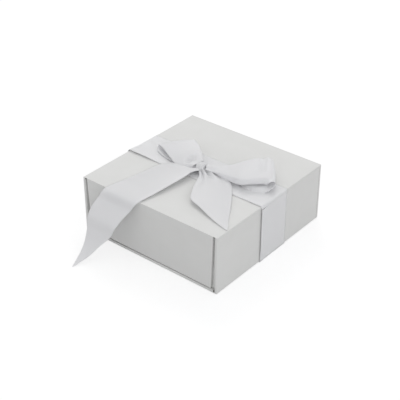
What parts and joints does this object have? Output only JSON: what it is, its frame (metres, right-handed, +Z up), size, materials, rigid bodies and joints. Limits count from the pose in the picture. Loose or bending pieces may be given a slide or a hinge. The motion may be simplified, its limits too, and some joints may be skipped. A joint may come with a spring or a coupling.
{
  "type": "favor box",
  "caption": "Square paper-covered board gift box with a hinged lid, a magnetic front flap and a wide satin ribbon tied in a bow on top.",
  "frame": {"origin": "middle of the underside of the ribbon's run under the box, on the table, midway between the box's walls", "axes": "+Z up, -Y towards the front flap, +X to the right of someone facing the flap"},
  "size_m": [0.1614, 0.2117, 0.0734],
  "materials": {
    "greyboard": "plain grey cardboard core, matte",
    "cover_paper": "white wrapping paper with a faint satin sheen",
    "lining_paper": "white uncoated lining paper",
    "disc_steel": "plain rolled steel",
    "magnet_plating": "bright plating",
    "satin_ribbon": "white satin weave with a soft sheen"
  },
  "bodies": {
    "tray": {"base_board": "greyboard", "base_wrap": "cover_paper", "base_lining": "lining_paper", "front_wall_board": "greyboard", "front_wall_wrap": "cover_paper", "front_wall_lining": "lining_paper", "back_wall_board": "greyboard", "back_wall_wrap": "cover_paper", "back_wall_lining": "lining_paper", "left_wall_board": "greyboard", "left_wall_wrap": "cover_paper", "left_wall_lining": "lining_paper", "right_wall_board": "greyboard", "right_wall_wrap": "cover_paper", "right_wall_lining": "lining_paper", "front_left_gusset": "lining_paper", "front_right_gusset": "lining_paper", "back_left_gusset": "lining_paper", "back_right_gusset": "lining_paper", "left_steel_disc": "disc_steel", "right_steel_disc": "disc_steel", "ribbon_under_run": "satin_ribbon", "ribbon_left_run": "satin_ribbon", "ribbon_right_run": "satin_ribbon"},
    "lid": {"lid_board": "greyboard", "lid_wrap": "cover_paper", "lid_lining": "lining_paper", "ribbon_top_run": "satin_ribbon", "bow_knot": "satin_ribbon", "bow_left_loop": "satin_ribbon", "bow_right_loop": "satin_ribbon", "bow_long_tail": "satin_ribbon", "bow_short_tail": "satin_ribbon"},
    "flap": {"flap_board": "greyboard", "flap_wrap": "cover_paper", "flap_lining": "lining_paper", "left_flap_magnet": "magnet_plating", "right_flap_magnet": "magnet_plating", "bow_long_tail_drop": "satin_ribbon"}
  },
  "joints": [
    {"name": "lid_hinge", "type": "hinge", "parent": "tray", "child": "lid", "pos_m": [0, 0.08, 0.0604], "axis": [-1, 0, 0], "range_deg": [0, 180]},
    {"name": "flap_hinge", "type": "hinge", "parent": "lid", "child": "flap", "pos_m": [0, -0.08, 0.0604], "axis": [-1, 0, 0], "range_deg": [0, 90]}
  ]
}
